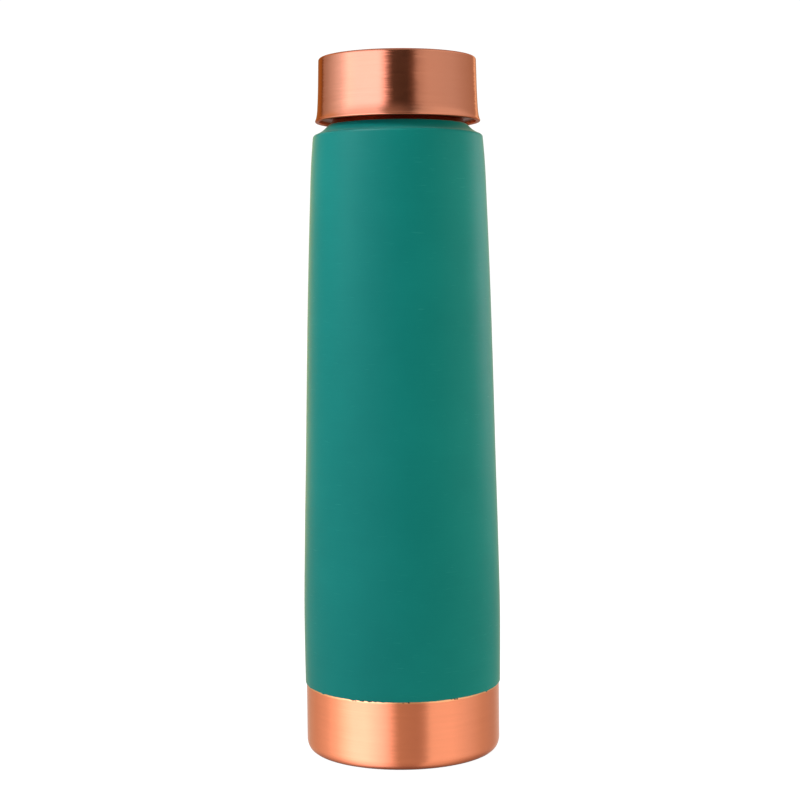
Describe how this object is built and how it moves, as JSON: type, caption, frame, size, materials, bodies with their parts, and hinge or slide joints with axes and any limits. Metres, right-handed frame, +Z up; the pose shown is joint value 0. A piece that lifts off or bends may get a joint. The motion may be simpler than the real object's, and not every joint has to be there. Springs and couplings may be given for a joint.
{
  "type": "copper water bottle",
  "caption": "Tapered copper water bottle with a matte green powder-coated body, bare copper base band and a brushed copper screw cap on a threaded mouth.",
  "frame": {"origin": "centre of the standing ring's underside", "axes": "+Z up along the bottle's axis, from the base to the cap; the mouth's thread crosses +X"},
  "size_m": [0.079, 0.079, 0.275],
  "materials": {
    "copper_body": "brushed copper, fine lines round the axis, lacquered",
    "green_coat": "matte to silky polymer powder coat baked on the copper",
    "copper_base": "pressed copper with faint turned rings",
    "copper_mouth": "bright turned copper",
    "silicone": "matte translucent white silicone",
    "copper_cap": "brushed copper, fine lines round the axis, lacquered",
    "copper_liner": "satin pressed copper"
  },
  "bodies": {
    "bottle": {"body_shell": "copper_body", "paint_coat": "green_coat", "base_disc": "copper_base", "threaded_mouth": "copper_mouth"},
    "seal": {"seal_gasket": "silicone"},
    "cap": {"cap_outer_shell": "copper_cap", "cap_threaded_liner": "copper_liner"}
  },
  "joints": [
    {"name": "cap_lift", "type": "slide", "parent": "bottle", "child": "seal", "axis": [0, 0, 1], "range_m": [0, 0.0225]},
    {"name": "cap_turn", "type": "hinge", "parent": "seal", "child": "cap", "pos_m": [0, 0, 0.2625], "axis": [0, 0, 1], "range_deg": [0, 1800]}
  ],
  "couplings": [
    {"joint": "cap_lift", "follows": "cap_turn", "m_per_rad": 0.0007162}
  ]
}
